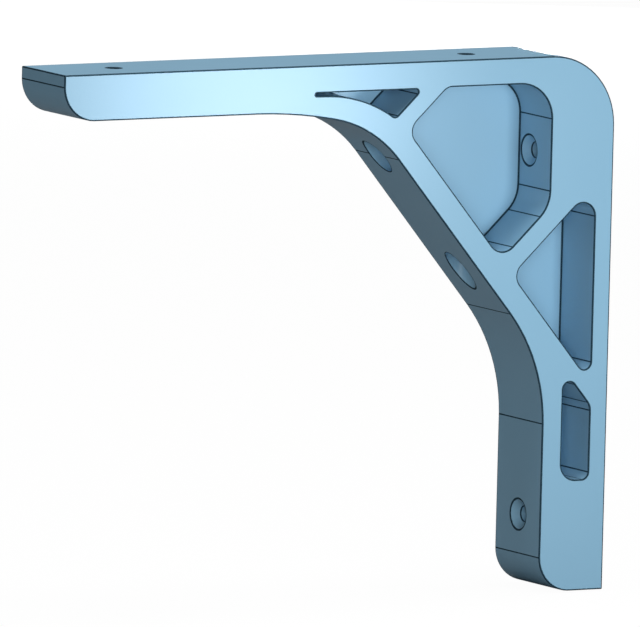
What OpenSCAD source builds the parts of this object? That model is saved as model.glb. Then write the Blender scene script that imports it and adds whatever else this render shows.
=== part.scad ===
// Shelf bracket moulded in one piece: an arm under the shelf, a leg on the wall and a diagonal brace.
// The front side is lightened by four rounded pockets, so that webs, rails and two struts stay as a truss.
// The wall is the plane X = 0, the arm reaches towards -X, and the pockets open towards -Y.
// Heights in the sizes below are measured from the lower end of the leg.

/* [Overall] */
// Height of the bracket, from the leg's lower end to the shelf
height = 150; // [148:0.5:170]
// Reach of the arm from the wall
reach = 175.5; // [172:0.5:200]
// Width of the bracket, from its front side to its back
width = 24.4; // [21:0.1:34]

/* [Arm and leg] */
// Thickness of the arm
arm_t = 13; // [12:0.1:14]
// Thickness of the leg, from the wall to its inner side
leg_t = 20.6; // [18.6:0.1:22]
// Radius of the outer corner between the wall and the shelf
corner_r = 20; // [5:0.5:26]
// Radius under the free end of the arm
arm_end_r = 9.8; // [3:0.1:11.5]
// Radius inside the lower end of the leg
leg_end_r = 9.8; // [3:0.1:14]

/* [Brace] */
// Slope of the brace, from the level
brace_angle = 50.2; // [48.5:0.1:51.5]
// Height at which the brace's lower side would meet the leg's inner side
brace_foot_h = 64.8; // [62:0.1:68]
// Thickness of the brace, between its lower side and the pockets
brace_t = 7.4; // [5:0.1:8.5]
// Radius of the hollow between the leg and the brace
foot_r = 50; // [25:0.1:60]
// Distance from the wall at which the arm's lower side begins to slope
knee_x = 102.4; // [98:0.1:108]
// Slope of the knee between the arm and the brace, from the level
knee_angle = 10.2; // [6:0.1:14]
// Radius of the gentle bend at the start of the knee
knee_arm_r = 140; // [60:1:145]
// Radius of the bend between the knee and the brace
knee_brace_r = 35.4; // [20:0.1:36]

/* [Rails and struts] */
// Thickness of the rail between the shelf and the large pocket
rail_t = 7.5; // [5:0.1:8]
// Thickness of the wall side beside the large pocket
upper_wall_t = 20.1; // [15:0.1:22]
// Thickness of the wall side beside the lower pockets
wall_t = 5.5; // [4:0.1:7]
// Thickness of the leg's inner rail beside the lowest pocket
leg_rail_t = 6.3; // [5:0.1:7.5]
// Slope of both struts, from the level
strut_angle = 43.5; // [41:0.1:46]
// Thickness of the strut that rises to the arm
arm_strut_t = 5.5; // [4:0.1:7]
// Distance from the wall at which the middle of that strut meets the rail
arm_strut_x = 57.7; // [56:0.1:60]
// Thickness of the strut that rises to the wall side
wall_strut_t = 6; // [4:0.1:8]
// Height at which the middle of that strut meets the thick part of the wall side
wall_strut_h = 104; // [102:0.1:106]
// Thickness of the short tie between the two lower pockets
tie_t = 4.2; // [3:0.1:5.5]
// Height of the floor of the lowest pocket
lowest_pocket_h = 31.1; // [28:0.1:36]

/* [Pockets] */
// Depth of the pockets, from the front side
pocket_depth = 17.5; // [14:0.1:19]
// Radius of the large pocket beside the wall
wide_r = 10.2; // [4:0.1:12]
// Radius of the pocket corners between a rail and a strut or the brace
corner_pocket_r = 3.9; // [2:0.1:5]
// Radius of the lower corner of the large pocket and the inner floor corner of the lowest pocket
heel_r = 4.6; // [2:0.1:5.5]
// Radius of the pocket corners with a narrow angle
narrow_r = 2.1; // [1:0.1:2.6]
// Thickness of the rail between the shelf and the slim pocket
slim_rail_t = 7.7; // [7.3:0.1:8.1]
// Distance from the wall to the tip of the slim pocket in the arm
tip_x = 95.9; // [93:0.1:100]
// Height of the slot that ends the slim pocket
slot_h = 0.85; // [0.6:0.05:1.4]
// Slope of the slim pocket's lower side, from the level
slim_angle = 33; // [31:0.1:35]
// Distance from the wall at which the slot begins to slope
slim_bend_x = 81; // [79:0.1:83]
// Radius of the slim pocket's lower side
slim_bend_r = 41; // [20:0.5:44]
// Radius of the corner of the slim pocket between the rail and the strut
slim_rail_r = 0.8; // [0.4:0.1:1.2]
// Radius of the lowest corner of the slim pocket
slim_heel_r = 1.4; // [0.6:0.1:1.8]

/* [Screw holes] */
// Diameter of the screw holes
hole_d = 4.3; // [3:0.1:5.5]
// Diameter of the countersink for the screw's head
head_d = 8.6; // [7:0.1:10]
// Full angle of the countersink
sink_angle = 90; // [80:1:100]
// Height of the lower wall screw
wall_screw_h = 20.4; // [17:0.1:24]
// Distance between the two wall screws
wall_screw_gap = 102; // [99:0.1:105]
// Distance from the wall to the nearer shelf screw
shelf_screw_x = 41.1; // [38:0.1:44]
// Distance between the two shelf screws
shelf_screw_gap = 112.2; // [108:0.1:116]
// Diameter of the two passages for the screwdriver
driver_d = 8.6; // [7:0.1:10]

/* [Hidden] */

// Largest share of a side that the fillets at its two ends may take together
FILLET_SHARE = 0.98;
// How far a cut runs past the side that it meets
PAST = 1;
// How far a fillet's kite runs past its two sides, less than the height of the slot
LAP = 0.5;
// How far a fillet's disc crosses the sides that it touches, so that they meet in one clean edge
BITE = 0.002;
// Keeps a division away from nothing where neither corner is rounded
TINY = 0.001;

arm_under_h = height - arm_t;
rail_under_h = height - rail_t;
slim_top_h = height - slim_rail_t;
slot_under_h = slim_top_h - slot_h;
pattern_mid_h = wall_screw_h + wall_screw_gap / 2;

// A line is [point on it, angle from +X]; meet() gives the point that two lines share.
function heading(a) = [cos(a), sin(a)];
function turned(a) = [-sin(a), cos(a)];
function cross2(u, v) = u[0] * v[1] - u[1] * v[0];
function meet(m, n) =
    m[0] + heading(m[1]) * cross2(n[0] - m[0], heading(n[1])) / cross2(heading(m[1]), heading(n[1]));
function beside(m, d) = [m[0] + turned(m[1]) * d, m[1]];
function level(h) = [[0, h], 0];
function upright(x) = [[-x, 0], 90];

// The lines on which the sides of the brace, the struts and the pockets lie
brace_low = [[-leg_t, brace_foot_h], -brace_angle];
brace_top = beside(brace_low, brace_t);
knee = [[-knee_x, arm_under_h], -knee_angle];
arm_strut = [[-arm_strut_x, rail_under_h], strut_angle];
wall_strut = [[-upper_wall_t, wall_strut_h], strut_angle];
slim_side = [[-slim_bend_x, slot_under_h], -slim_angle];
tie_low = beside(brace_top, -tie_t);

// Each shape is a list of corners, [point, fillet radius], taken anticlockwise
outline = [
    [[0, 0], 0],
    [[0, height], corner_r],
    [[-reach, height], 0],
    [[-reach, arm_under_h], arm_end_r],
    [meet(level(arm_under_h), knee), knee_arm_r],
    [meet(knee, brace_low), knee_brace_r],
    [meet(brace_low, upright(leg_t)), foot_r],
    [[-leg_t, 0], leg_end_r]
];
large_pocket = [
    [meet(upright(upper_wall_t), level(rail_under_h)), wide_r],
    [meet(level(rail_under_h), beside(arm_strut, -arm_strut_t / 2)), corner_pocket_r],
    [meet(beside(arm_strut, -arm_strut_t / 2), brace_top), corner_pocket_r],
    [meet(brace_top, beside(wall_strut, wall_strut_t / 2)), heel_r],
    [meet(beside(wall_strut, wall_strut_t / 2), upright(upper_wall_t)), wide_r]
];
middle_pocket = [
    [meet(upright(wall_t), beside(wall_strut, -wall_strut_t / 2)), corner_pocket_r],
    [meet(beside(wall_strut, -wall_strut_t / 2), brace_top), corner_pocket_r],
    [meet(brace_top, upright(wall_t)), narrow_r]
];
lowest_pocket = [
    [meet(upright(wall_t), tie_low), corner_pocket_r],
    [meet(tie_low, upright(leg_t - leg_rail_t)), narrow_r],
    [meet(upright(leg_t - leg_rail_t), level(lowest_pocket_h)), heel_r],
    [meet(level(lowest_pocket_h), upright(wall_t)), narrow_r]
];
slim_pocket = [
    [meet(beside(arm_strut, arm_strut_t / 2), level(slim_top_h)), slim_rail_r],
    [[-tip_x, slim_top_h], slot_h / 2],
    [[-tip_x, slot_under_h], slot_h / 2],
    [slim_side[0], slim_bend_r],
    [meet(slim_side, beside(arm_strut, arm_strut_t / 2)), slim_heel_r]
];

// Fillets: a corner's point, the way on from it, its turn, the length that its arc takes and the arc's radius
function point(c, i) = c[(i + len(c)) % len(c)][0];
function way(c, i) = (point(c, i + 1) - point(c, i)) / norm(point(c, i + 1) - point(c, i));
function turn(c, i) = atan2(cross2(way(c, i - 1), way(c, i)), way(c, i - 1) * way(c, i));
function wish(c, i) = c[(i + len(c)) % len(c)][1] * tan(abs(turn(c, i)) / 2);
function room(c, i) =
    FILLET_SHARE * norm(point(c, i + 1) - point(c, i)) / max(wish(c, i) + wish(c, i + 1), TINY);
function arc_len(c, i) = wish(c, i) * min(1, room(c, i - 1), room(c, i));
function arc_r(c, i) = arc_len(c, i) / tan(abs(turn(c, i)) / 2);

// What lies between a corner and its arc: a kite on the arc's centre, LAP beyond both sides, less the disc
module fillet(c, i) {
    r = arc_r(c, i);
    side_in = point(c, i) - way(c, i - 1) * arc_len(c, i);
    side_out = point(c, i) + way(c, i) * arc_len(c, i);
    mid = side_in + [-way(c, i - 1)[1], way(c, i - 1)[0]] * r * sign(turn(c, i));
    grow = (r + LAP) / r;
    kite = turn(c, i) > 0 ? [mid, side_in, point(c, i), side_out] : [mid, side_out, point(c, i), side_in];
    difference() {
        polygon([for (p = kite) mid + (p - mid) * grow]);
        translate(mid) circle(r = r + BITE, $fn = 96);
    }
}

// A flat shape whose corners are rounded by true arcs: cut away outside, filled in inside
module rounded(c) {
    bends = [for (i = [0:len(c) - 1]) if (c[i][1] > 0) i];
    difference() {
        union() {
            polygon([for (corner = c) corner[0]]);
            for (i = bends) if (turn(c, i) < 0) fillet(c, i);
        }
        for (i = bends) if (turn(c, i) > 0) fillet(c, i);
    }
}

// Stands a flat shape up in the X-Z plane and gives it its depth from the front side
module from_front(depth) {
    translate([0, -width / 2 + depth, 0]) rotate([90, 0, 0]) linear_extrude(depth) children();
}

// A countersunk screw hole along +Z, whose head sits in the plane Z = 0 and whose screw leaves at +Z
module screw_hole(length) {
    sink = (head_d - hole_d) / 2 / tan(sink_angle / 2);
    lip = head_d / 2 + PAST * tan(sink_angle / 2);
    translate([0, 0, -PAST]) cylinder(h = length + 2 * PAST, d = hole_d, $fn = 48);
    translate([0, 0, -PAST]) cylinder(h = sink + PAST, r1 = lip, r2 = hole_d / 2, $fn = 48);
}

module body() {
    from_front(width) rounded(outline);
}

module pockets() {
    for (c = [large_pocket, middle_pocket, lowest_pocket, slim_pocket])
        translate([0, -PAST, 0]) from_front(pocket_depth + PAST) rounded(c);
}

module wall_screw_holes() {
    translate([-leg_t, 0, wall_screw_h]) rotate([0, 90, 0]) screw_hole(leg_t);
    translate([-upper_wall_t, 0, wall_screw_h + wall_screw_gap]) rotate([0, 90, 0]) screw_hole(upper_wall_t);
}

module shelf_screw_holes() {
    translate([-shelf_screw_x, 0, rail_under_h]) screw_hole(rail_t);
    translate([-shelf_screw_x - shelf_screw_gap, 0, arm_under_h]) screw_hole(arm_t);
}

// Straight passages through the brace, in line with the upper wall screw and the nearer shelf screw
module driver_passages() {
    translate([-knee_x, 0, wall_screw_h + wall_screw_gap]) rotate([0, 90, 0])
        cylinder(h = knee_x - upper_wall_t - wide_r, d = driver_d, $fn = 64);
    translate([-shelf_screw_x, 0, lowest_pocket_h])
        cylinder(h = wall_screw_h + wall_screw_gap - lowest_pocket_h, d = driver_d, $fn = 64);
}

module bracket() {
    color("lightsteelblue")
    translate([0, 0, -pattern_mid_h])
    difference() {
        body();
        pockets();
        wall_screw_holes();
        shelf_screw_holes();
        driver_passages();
    }
}

bracket();
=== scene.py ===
"""Looks of a moulded shelf bracket: satin blue-grey plastic with eased edges, on a plain pale floor.

The bracket's shape is the CAD node. The script welds a copy of it, eases its edges and gives it its
finish. Lengths are in metres, in the part's own frame: the wall screws lie on the wall plane X = 0,
the arm reaches towards -X, the shelf is up +Z, and the pockets open towards -Y.
"""

import math

import bmesh
import bpy
from mathutils import Matrix, Vector


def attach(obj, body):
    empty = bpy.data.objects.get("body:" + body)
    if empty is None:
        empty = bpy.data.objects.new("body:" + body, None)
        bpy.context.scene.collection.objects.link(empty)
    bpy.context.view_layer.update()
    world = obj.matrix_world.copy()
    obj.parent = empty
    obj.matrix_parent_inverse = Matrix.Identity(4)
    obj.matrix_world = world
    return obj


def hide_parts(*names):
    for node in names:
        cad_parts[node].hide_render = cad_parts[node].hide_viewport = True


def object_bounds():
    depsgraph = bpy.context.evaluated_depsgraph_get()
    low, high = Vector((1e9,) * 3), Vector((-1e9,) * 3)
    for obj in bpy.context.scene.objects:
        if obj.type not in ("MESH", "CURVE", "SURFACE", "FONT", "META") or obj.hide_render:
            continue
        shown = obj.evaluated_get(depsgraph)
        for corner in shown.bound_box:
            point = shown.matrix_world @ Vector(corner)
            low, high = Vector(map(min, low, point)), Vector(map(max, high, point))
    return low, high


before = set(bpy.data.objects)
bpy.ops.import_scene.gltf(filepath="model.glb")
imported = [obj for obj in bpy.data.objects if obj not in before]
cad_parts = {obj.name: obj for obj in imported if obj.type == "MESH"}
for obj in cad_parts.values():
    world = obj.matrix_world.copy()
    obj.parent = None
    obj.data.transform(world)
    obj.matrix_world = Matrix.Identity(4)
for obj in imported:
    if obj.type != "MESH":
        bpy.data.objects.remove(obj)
cad_low, cad_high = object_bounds()

MM = 0.001

# The frame's axes, in the moulding's own words
TO_WALL, DEPTH, TO_SHELF = Vector((1, 0, 0)), Vector((0, 1, 0)), Vector((0, 0, 1))

# The CAD mesh: points this close are one, and faces that turn less than this are one flat
WELD = 0.002 * MM
FLAT = math.radians(0.3)
# Sine of the greatest lean at which a line or a face still counts as square to another
SQUARE_WITHIN = 0.01

# Edges are eased where two faces meet more sharply than this. Where they meet across the moulding they
# must turn further, because the facets of a small round meet there too
SHARP = math.radians(20)
SHARP_ACROSS = math.radians(75)
ACROSS = 5.0 * MM
EDGE_RADIUS = 0.25 * MM
EDGE_SEGMENTS = 3
# Width of the deeper tone beside an eased edge
EDGE_BORDER = 0.15 * MM

# A run-out is a fine line where the last facet of a round meets a flat. It turns more than this, and the
# flat is wider than this and than so many facets
LEAST_TURN = math.radians(1.0)
NARROWEST_FACET = 0.1 * MM
SHORTEST_FLAT = 2.0 * MM
FLAT_TO_FACET = 2.5
# Half the width of the line, and how far from its middle a face of it may lie
RUN_OUT = 0.19 * MM
IN_RUN_OUT = 1.1 * RUN_OUT

# No hole reaches further than this from the middle of the thickness
HOLE_REACH = 4.5 * MM
# Depth of the deeper tone just inside a screw hole
MOUTH = 0.7 * MM

# What the cuts leave: shorter edges are closed up, and faces with more corners are split
SHORTEST_EDGE = 0.01 * MM
MOST_CORNERS = 4

# Name of the face attribute that marks the deeper tone
EASED = "eased"

# Plastic, as linear colours
PLASTIC = (0.235, 0.440, 0.600, 1.0)
PLASTIC_CLOUDED = (0.250, 0.460, 0.620, 1.0)
EDGE_TONE = (0.003, 0.026, 0.046, 1.0)
EDGE_SHARE = 0.97
ROUGHNESS = 0.30
ROUGHNESS_SPREAD = 0.06
EDGE_ROUGHNESS = 0.55
SPECULAR_LEVEL = 0.32
CLOUD_SCALE = 30.0
GRAIN_SCALE = 1400.0
GRAIN_HEIGHT = 0.01 * MM
NOISE_DETAIL = 2.0
NOISE_MIDDLE = 0.5
# Places of the colours among the sockets of a Mix node
MIX_FACTOR, MIX_FIRST, MIX_SECOND, MIX_RESULT = 0, 6, 7, 2

# The picture is as good as a parallel view, so the lens is very long. Its direction is in degrees
LENS_MM = 1600.0
VIEW_AZIMUTH = 29.937
VIEW_ELEVATION = 6.996
VIEW_ROLL = 1.452
# Where the foot's front corner on the wall lies: right of the view's axis, below it, and from the camera
FOOT_RIGHT = 0.078503
FOOT_BELOW = 0.076693
FOOT_DISTANCE = 7.9174
FARTHEST_SEEN = 50.0

WHITE = (1.0, 1.0, 1.0, 1.0)
FLOOR_SIZE = 12.0
FLOOR_GAP = 0.5 * MM
# Tone of the floor for the light that it throws back, and for the camera
FLOOR_TONE = 0.17
FLOOR_PALE = 0.90
FLOOR_WHITE_SHARE = 0.97
AMBIENT = 0.11

# Where the arm has its pale sheen
SHEEN_X = -0.122
SHEEN_Z = 0.073


class Value:
    """A shader socket on which arithmetic adds Math nodes."""

    def __init__(self, finish, socket):
        self.finish, self.socket = finish, socket

    def math(self, operation, first, second):
        return self.finish.node("Math", {"operation": operation}, {0: first, 1: second})

    def __add__(self, other):
        return self.math("ADD", self, other)

    def __sub__(self, other):
        return self.math("SUBTRACT", self, other)

    def __rsub__(self, other):
        return self.math("SUBTRACT", other, self)

    def __mul__(self, other):
        return self.math("MULTIPLY", self, other)

    __radd__ = __add__
    __rmul__ = __mul__


class Finish:
    """A node material, or the world, whose nodes are all made by one method."""

    def __init__(self, owner):
        self.owner = owner
        owner.use_nodes = True
        owner.node_tree.nodes.clear()

    def node(self, kind, settings=None, sockets=None, output=0):
        tree = self.owner.node_tree
        made = tree.nodes.new("ShaderNode" + kind)
        for name, value in (settings or {}).items():
            setattr(made, name, value)
        for name, value in (sockets or {}).items():
            if isinstance(value, Value):
                tree.links.new(value.socket, made.inputs[name])
            else:
                made.inputs[name].default_value = value
        return Value(self, made.outputs[output]) if made.outputs else None

    def noise(self, place, scale):
        sockets = {"Vector": place, "Scale": scale, "Detail": NOISE_DETAIL}
        return self.node("TexNoise", None, sockets)

    def mix(self, factor, first, second):
        sockets = {MIX_FACTOR: factor, MIX_FIRST: first, MIX_SECOND: second}
        return self.node("Mix", {"data_type": "RGBA"}, sockets, MIX_RESULT)


def satin_plastic():
    """Moulded plastic, faintly clouded, with a fine grain and a deeper tone along its eased edges."""
    plastic = Finish(bpy.data.materials.new("satin_plastic"))
    place = plastic.node("TexCoord", output="Object")
    cloud = plastic.noise(place, CLOUD_SCALE)
    grain = plastic.noise(place, GRAIN_SCALE)
    eased = plastic.node("Attribute", {"attribute_name": EASED}, output="Fac")
    body = plastic.mix(cloud, PLASTIC, PLASTIC_CLOUDED)
    tone = plastic.mix(eased * EDGE_SHARE, body, EDGE_TONE)
    clouding = (cloud - NOISE_MIDDLE) * ROUGHNESS_SPREAD
    bump = {"Height": grain, "Distance": GRAIN_HEIGHT, "Strength": 1.0}
    surface = {
        "Base Color": tone,
        "Roughness": ROUGHNESS + clouding + eased * EDGE_ROUGHNESS,
        "Normal": plastic.node("Bump", None, bump),
        "Specular IOR Level": SPECULAR_LEVEL,
    }
    plastic.node("OutputMaterial", None, {"Surface": plastic.node("BsdfPrincipled", None, surface)})
    return plastic.owner


def pale_floor():
    """A floor that the camera sees almost white, and that gives the object only soft grey light."""
    floor = Finish(bpy.data.materials.new("pale_floor"))
    camera_ray = floor.node("LightPath", output="Is Camera Ray")
    tone = camera_ray * (FLOOR_PALE - FLOOR_TONE) + FLOOR_TONE
    plain = floor.node("BsdfDiffuse", None, {"Color": tone})
    white = floor.node("Emission", None, {"Color": WHITE, "Strength": 1.0})
    sides = {0: camera_ray * FLOOR_WHITE_SHARE, 1: plain, 2: white}
    floor.node("OutputMaterial", None, {"Surface": floor.node("MixShader", None, sides)})
    return floor.owner


def soft_world():
    """Even, dim light all round; the camera alone sees it as white."""
    world = bpy.context.scene.world or bpy.data.worlds.new("studio")
    bpy.context.scene.world = world
    studio = Finish(world)
    camera_ray = studio.node("LightPath", output="Is Camera Ray")
    light = {"Color": WHITE, "Strength": camera_ray * (1.0 - AMBIENT) + AMBIENT}
    studio.node("OutputWorld", None, {"Surface": studio.node("Background", None, light)})


def from_front(span):
    """A place or a span as it is seen from the front, with its depth left out."""
    return Vector((span.x, 0, span.z))


def runs_across(edge):
    """True for an edge that runs from the front of the moulding towards its back."""
    along = edge.verts[1].co - edge.verts[0].co
    return along.length > ACROSS and from_front(along).length < SQUARE_WITHIN * along.length


def is_edge_of_moulding(edge):
    """True where two faces of the moulding meet, and not where two facets of a small round do."""
    return edge.is_manifold and edge.calc_face_angle() > (SHARP_ACROSS if runs_across(edge) else SHARP)


def width_from(edge, face):
    """How far a face reaches from an edge that runs across the moulding."""
    return max(from_front(vert.co - edge.verts[0].co).length for vert in face.verts)


def is_run_out(edge):
    """True where the last facet of a round runs out into a flat, which is much wider than that facet."""
    if not (edge.is_manifold and runs_across(edge) and LEAST_TURN < edge.calc_face_angle() < SHARP):
        return False
    facet, flat = sorted(width_from(edge, face) for face in edge.link_faces)
    return facet > NARROWEST_FACET and flat > max(SHORTEST_FLAT, FLAT_TO_FACET * facet)


def run_out_line(edge):
    """A run-out's place as it is seen from the front, and the way along the surface there."""
    facing = edge.link_faces[0].normal + edge.link_faces[1].normal
    return from_front(edge.verts[0].co), facing.cross(DEPTH).normalized()


def is_in_hole(face):
    """True for a facet of a screw hole or a driver passage."""
    return all(abs(vert.co.y) < HOLE_REACH for vert in face.verts)


def is_square_to(face, way):
    """True for a face whose normal is square to a way, so that the face runs along it."""
    return abs(face.normal.dot(way)) < SQUARE_WITHIN


def cut_across(shape, faces, place, way):
    """Cuts faces along the plane through a place and square to a way, always in the same order."""
    parts = dict.fromkeys(part for face in faces for part in (face, *face.edges, *face.verts))
    bmesh.ops.bisect_plane(shape, geom=list(parts), plane_co=place, plane_no=way)


def mark_faces(faces, mark):
    for face in faces:
        face[mark] = 1.0


def deepen_mouths(shape, mark, side, outward):
    """Marks the outermost ring inside the holes that open on a plane side of the moulding."""
    inner_end = side - outward * MOUTH
    bore = [face for face in shape.faces if is_in_hole(face) and is_square_to(face, outward)]
    cut_across(shape, bore, inner_end, outward)

    def is_outermost(face):
        return (face.calc_center_median() - inner_end).dot(outward) > 0

    mark_faces([face for face in shape.faces if is_in_hole(face) and is_outermost(face)], mark)


def score_run_out(shape, mark, place, along):
    """Cuts a fine strip across the walls on both sides of a run-out and marks it for the finish."""

    def walls():
        return [face for face in shape.faces if is_square_to(face, DEPTH)]

    def is_beside(face):
        return any((from_front(vert.co) - place).length < EDGE_RADIUS for vert in face.verts)

    def is_in_strip(face):
        return from_front(face.calc_center_bounds() - place).length < IN_RUN_OUT

    for side in (-1, 1):
        cut_across(shape, filter(is_beside, walls()), place + along * side * RUN_OUT, along)
    mark_faces(filter(is_in_strip, walls()), mark)


def ease_edges(shape, mark):
    """Rounds the moulding's edges and marks them, with a fine border beside them on every plain face."""
    rounds = bmesh.ops.bevel(
        shape,
        geom=[edge for edge in shape.edges if is_edge_of_moulding(edge)],
        offset=EDGE_RADIUS,
        offset_type="OFFSET",
        affect="EDGES",
        segments=EDGE_SEGMENTS,
        profile=0.5,
        clamp_overlap=False,
        material=-1,
    )
    mark_faces(rounds["faces"], mark)
    plain = [face for face in shape.faces if face[mark] == 0 and not is_in_hole(face)]
    border = bmesh.ops.inset_region(
        shape, faces=plain, thickness=EDGE_BORDER, use_boundary=True, use_even_offset=True
    )
    mark_faces(border["faces"], mark)


def close_up(shape):
    """Closes the shortest edges that the cuts leave and splits the faces with many corners."""
    bmesh.ops.dissolve_degenerate(shape, dist=SHORTEST_EDGE, edges=shape.edges)
    many_cornered = [face for face in shape.faces if len(face.verts) > MOST_CORNERS]
    bmesh.ops.triangulate(shape, faces=many_cornered, ngon_method="BEAUTY")


def piece_from(shape, name, material):
    """An object of a finished shape, which is freed."""
    mesh = bpy.data.meshes.new(name)
    shape.to_mesh(mesh)
    shape.free()
    mesh.materials.append(material)
    piece = bpy.data.objects.new(name, mesh)
    bpy.context.scene.collection.objects.link(piece)
    return piece


def eased_copy(node, material):
    """A welded copy of a CAD node with its edges rounded, and those rounds marked for the finish."""
    shape = bmesh.new()
    shape.from_mesh(node.data)
    bmesh.ops.remove_doubles(shape, verts=shape.verts, dist=WELD)
    bmesh.ops.dissolve_limit(
        shape, angle_limit=FLAT, use_dissolve_boundaries=False, verts=shape.verts, edges=shape.edges
    )
    mark = shape.faces.layers.float.new(EASED)
    run_outs = [run_out_line(edge) for edge in shape.edges if is_run_out(edge)]
    ease_edges(shape, mark)
    for place, along in run_outs:
        score_run_out(shape, mark, place, along)
    for outward in (TO_SHELF, TO_WALL):
        deepen_mouths(shape, mark, cad_high, outward)
    close_up(shape)
    for face in shape.faces:
        face.smooth = True
    piece = piece_from(shape, "bracket_moulding", material)
    piece.modifiers.new("even_normals", "WEIGHTED_NORMAL").mode = "FACE_AREA"
    return piece


def add_floor(height, material):
    shape = bmesh.new()
    place = Matrix.Translation((0, 0, height))
    bmesh.ops.create_grid(shape, x_segments=1, y_segments=1, size=FLOOR_SIZE / 2, matrix=place)
    return piece_from(shape, "floor", material)


def add_camera(foot):
    """A camera at the picture's angle that puts the foot's front corner where the picture has it."""
    turn = (
        Matrix.Rotation(math.radians(-VIEW_AZIMUTH), 3, "Z")
        @ Matrix.Rotation(math.radians(90 - VIEW_ELEVATION), 3, "X")
        @ Matrix.Rotation(math.radians(VIEW_ROLL), 3, "Z")
    )
    right, up, back = turn.col
    data = bpy.data.cameras.new("camera")
    data.lens = LENS_MM
    data.clip_end = FARTHEST_SEEN
    camera = bpy.data.objects.new("camera", data)
    place = foot - right * FOOT_RIGHT + up * FOOT_BELOW + back * FOOT_DISTANCE
    camera.matrix_world = Matrix.Translation(place) @ turn.to_4x4()
    bpy.context.scene.collection.objects.link(camera)
    bpy.context.scene.camera = camera
    return back


def add_lamp(name, target, direction, distance, size, power, cone=None):
    """A soft lamp that stands off from the target in a direction and faces it, as a spot if it has a cone."""
    data = bpy.data.lights.new(name, "SPOT" if cone else "AREA")
    if cone:
        data.spot_size = math.radians(cone)
        data.spot_blend = 1.0
        data.shadow_soft_size = size / 2
    else:
        data.size = size
    data.energy = power
    lamp = bpy.data.objects.new(name, data)
    lamp.visible_camera = False
    away = Vector(direction).normalized()
    turn = away.to_track_quat("Z", "Y").to_matrix().to_4x4()
    lamp.matrix_world = Matrix.Translation(target + away * distance) @ turn
    bpy.context.scene.collection.objects.link(lamp)


moulding = eased_copy(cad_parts["bracket"], satin_plastic())
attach(moulding, "root")
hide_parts("bracket")

middle = (cad_low + cad_high) / 2
add_floor(cad_low.z - FLOOR_GAP, pale_floor())
soft_world()
back = add_camera(Vector((cad_high.x, cad_low.y, cad_low.z)))

# The lamp in front and the one at the camera's side fill the pockets, the one overhead lights the
# shelf side and the one behind the wall side. Two near ones give the arm its pale sheen: a spot in front
# of it, and a small lamp that the front side mirrors into the camera
add_lamp("front", middle, (-0.05, -1.0, 0.05), distance=1.4, size=0.4, power=3.6)
add_lamp("fill", middle, back, distance=1.4, size=0.4, power=6.4)
add_lamp("overhead", middle, (0.05, -0.02, 1.0), distance=1.2, size=0.6, power=13.0)
add_lamp("behind", middle, (0.6, 1.0, 0.0), distance=1.5, size=0.12, power=6.0)
sheen = Vector((SHEEN_X, cad_low.y, SHEEN_Z))
mirrored = Vector((-back.x, back.y, -back.z))
add_lamp("arm", sheen, (0.0, -1.0, 0.0), distance=0.5, size=0.05, power=5.0, cone=17.0)
add_lamp("sheen", sheen, mirrored, distance=0.26, size=0.06, power=0.29)

bpy.context.scene.view_settings.view_transform = "Standard"
